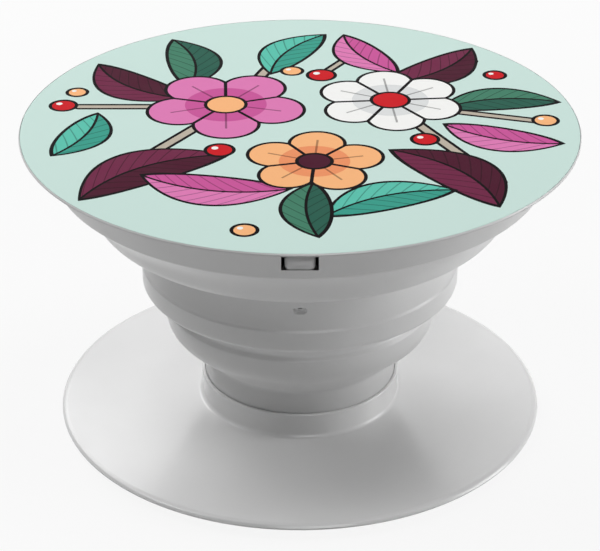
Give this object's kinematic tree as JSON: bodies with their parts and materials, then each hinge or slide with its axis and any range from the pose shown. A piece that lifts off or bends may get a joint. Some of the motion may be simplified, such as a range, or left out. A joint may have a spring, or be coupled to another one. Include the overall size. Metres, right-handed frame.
{
  "type": "collapsible phone grip",
  "caption": "Collapsible phone grip: a round printed button on a folding bellows that swivels in a round stick-on base. It pulls out to hold or prop a phone and pushes flat.",
  "frame": {"origin": "centre of the adhesive pad's underside, where the grip meets the phone", "axes": "+Z from the phone towards the button, -Y through the vent and one of the button's windows"},
  "size_m": [0.04, 0.04, 0.0235],
  "materials": {
    "adhesive": "matt grey foam with a tacky face",
    "base_plastic": "glossy white",
    "soft_plastic": "satin white",
    "button_plastic": "satin white",
    "print": "printed, semi-gloss"
  },
  "bodies": {
    "base": {"base_platform": "base_plastic", "adhesive_pad": "adhesive"},
    "stem": {"accordion": "soft_plastic"},
    "button": {"button": "button_plastic", "print_disc": "print"}
  },
  "joints": [
    {"name": "swivel", "type": "hinge", "parent": "base", "child": "stem", "pos_m": [0, 0, 0], "axis": [0, 0, 1], "continuous": true},
    {"name": "collapse", "type": "slide", "parent": "stem", "child": "button", "axis": [0, 0, 1], "range_m": [-0.017, 0], "deforming": ["accordion"]}
  ]
}
